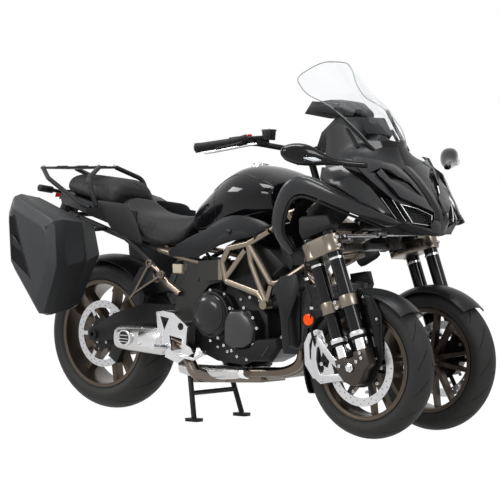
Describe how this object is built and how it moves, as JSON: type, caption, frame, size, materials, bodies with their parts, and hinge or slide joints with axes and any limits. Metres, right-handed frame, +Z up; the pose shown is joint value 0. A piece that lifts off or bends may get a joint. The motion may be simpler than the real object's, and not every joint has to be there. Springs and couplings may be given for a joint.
{
  "type": "reverse trike",
  "caption": "Leaning touring reverse trike: two steered front wheels on twin-tube forks, one driven rear wheel, trellis frame, hard side cases and a clear screen.",
  "frame": {"origin": "on the floor below the middle of the overall length, on the centre plane", "axes": "+X forward along the direction of travel, +Y to the rider's left, +Z up"},
  "size_m": [2.149, 1.092, 1.436],
  "materials": {
    "engine_casing": "satin",
    "exhaust_steel": "satin",
    "frame_bronze": "satin",
    "chassis_black": "satin",
    "chain_steel": "satin",
    "radiator_black": "matt",
    "satin_plastic": "satin",
    "gloss_black": "gloss",
    "seat_cover": "matt",
    "rack_black": "satin",
    "tail_black": "satin",
    "cowl_paint": "satin",
    "lamp_glass": "gloss",
    "clear_screen": "gloss",
    "lean_arm_alloy": "satin",
    "foot_alloy": "satin",
    "case_plastic": "matt",
    "control_black": "matt",
    "link_steel": "satin",
    "stand_black": "satin",
    "fork_black": "gloss",
    "fork_bronze": "satin",
    "caliper_alloy": "satin",
    "tyre_rubber": "matt",
    "rim_bronze": "satin",
    "disc_steel": "satin"
  },
  "bodies": {
    "chassis": {"engine": "engine_casing", "exhaust": "exhaust_steel", "main_frame": "frame_bronze", "rear_subframe": "frame_bronze", "swingarm": "chassis_black", "shock_absorber": "chassis_black", "drive_chain": "chain_steel", "radiator": "radiator_black", "side_panels": "satin_plastic", "fuel_tank": "gloss_black", "rider_seat": "seat_cover", "pillion_seat": "seat_cover", "tail_cowl": "satin_plastic", "luggage_rack": "rack_black", "tail_lights": "tail_black", "nose_cowl": "cowl_paint", "headlamps": "lamp_glass", "arch_cowls": "cowl_paint", "windscreen": "clear_screen", "instrument_housing": "satin_plastic", "mirrors": "satin_plastic", "lean_arms": "lean_arm_alloy", "footrests": "foot_alloy", "case_tubs": "case_plastic"},
    "handlebar": {"handlebar": "chassis_black", "hand_controls": "control_black"},
    "fork_right": {"fork_tubes_right": "fork_black", "fork_clamps_right": "fork_bronze", "front_caliper_right": "caliper_alloy", "front_fender_right": "satin_plastic"},
    "fork_left": {"fork_tubes_left": "fork_black", "fork_clamps_left": "fork_bronze", "front_caliper_left": "caliper_alloy", "front_fender_left": "satin_plastic"},
    "front_wheel_right": {"front_tyre_right": "tyre_rubber", "front_rim_right": "rim_bronze", "front_disc_right": "disc_steel"},
    "front_wheel_left": {"front_tyre_left": "tyre_rubber", "front_rim_left": "rim_bronze", "front_disc_left": "disc_steel"},
    "rear_wheel": {"rear_tyre": "tyre_rubber", "rear_rim": "rim_bronze", "rear_disc_and_sprocket": "disc_steel"},
    "relay_arm": {"relay_arm": "link_steel"},
    "tie_rod_right": {"tie_rod_right": "link_steel"},
    "tie_rod_left": {"tie_rod_left": "link_steel"},
    "drag_link": {"drag_link": "link_steel"},
    "case_lid_right": {"case_lid_right": "case_plastic"},
    "case_lid_left": {"case_lid_left": "case_plastic"},
    "centre_stand": {"centre_stand": "stand_black"},
    "side_stand": {"side_stand": "stand_black"}
  },
  "joints": [
    {"name": "steering", "type": "hinge", "parent": "chassis", "child": "handlebar", "pos_m": [0.41555, 0, 0.8795], "axis": [-0.342, 0, 0.9397], "range_deg": [-30, 30]},
    {"name": "fork_right_steer", "type": "hinge", "parent": "chassis", "child": "fork_right", "pos_m": [0.60611, -0.205, 0.73602], "axis": [-0.342, 0, 0.9397], "range_deg": [-30, 30]},
    {"name": "fork_left_steer", "type": "hinge", "parent": "chassis", "child": "fork_left", "pos_m": [0.60611, 0.205, 0.73602], "axis": [-0.342, 0, 0.9397], "range_deg": [-30, 30]},
    {"name": "relay_steer", "type": "hinge", "parent": "chassis", "child": "relay_arm", "pos_m": [0.60269, 0, 0.74542], "axis": [-0.342, 0, 0.9397], "range_deg": [-30, 30]},
    {"name": "tie_rod_right_swing", "type": "hinge", "parent": "relay_arm", "child": "tie_rod_right", "pos_m": [0.69342, -0.025, 0.75928], "axis": [-0.342, 0, 0.9397], "range_deg": [-30, 30]},
    {"name": "tie_rod_left_swing", "type": "hinge", "parent": "relay_arm", "child": "tie_rod_left", "pos_m": [0.69342, 0.025, 0.75928], "axis": [-0.342, 0, 0.9397], "range_deg": [-30, 30]},
    {"name": "drag_link_swing", "type": "hinge", "parent": "handlebar", "child": "drag_link", "pos_m": [0.47848, -0.06, 0.70659], "axis": [-0.342, 0, 0.9397], "range_deg": [-30, 30]},
    {"name": "front_wheel_right_spin", "type": "hinge", "parent": "fork_right", "child": "front_wheel_right", "pos_m": [0.8, -0.205, 0.2745], "axis": [0, 1, 0], "continuous": true},
    {"name": "front_wheel_left_spin", "type": "hinge", "parent": "fork_left", "child": "front_wheel_left", "pos_m": [0.8, 0.205, 0.2745], "axis": [0, 1, 0], "continuous": true},
    {"name": "rear_wheel_spin", "type": "hinge", "parent": "chassis", "child": "rear_wheel", "pos_m": [-0.71, 0, 0.33], "axis": [0, 1, 0], "continuous": true},
    {"name": "case_lid_right_open", "type": "hinge", "parent": "chassis", "child": "case_lid_right", "pos_m": [-0.85484, -0.3, 0.59894], "axis": [0.6331, 0, -0.7741], "range_deg": [0, 75]},
    {"name": "case_lid_left_open", "type": "hinge", "parent": "chassis", "child": "case_lid_left", "pos_m": [-0.85484, 0.3, 0.59894], "axis": [-0.6331, 0, 0.7741], "range_deg": [0, 75]},
    {"name": "centre_stand_fold", "type": "hinge", "parent": "chassis", "child": "centre_stand", "pos_m": [-0.183, 0, 0.226], "axis": [0, 1, 0], "range_deg": [0, 100]},
    {"name": "side_stand_swing", "type": "hinge", "parent": "chassis", "child": "side_stand", "pos_m": [-0.02, 0.176, 0.214], "axis": [-0.04, -0.9282, -0.3699], "range_deg": [0, 99.5]}
  ],
  "couplings": [
    {"joint": "fork_right_steer", "follows": "steering", "ratio": 1},
    {"joint": "fork_left_steer", "follows": "steering", "ratio": 1},
    {"joint": "relay_steer", "follows": "steering", "ratio": 1},
    {"joint": "tie_rod_right_swing", "follows": "steering", "ratio": -1},
    {"joint": "tie_rod_left_swing", "follows": "steering", "ratio": -1},
    {"joint": "drag_link_swing", "follows": "steering", "ratio": -1}
  ]
}
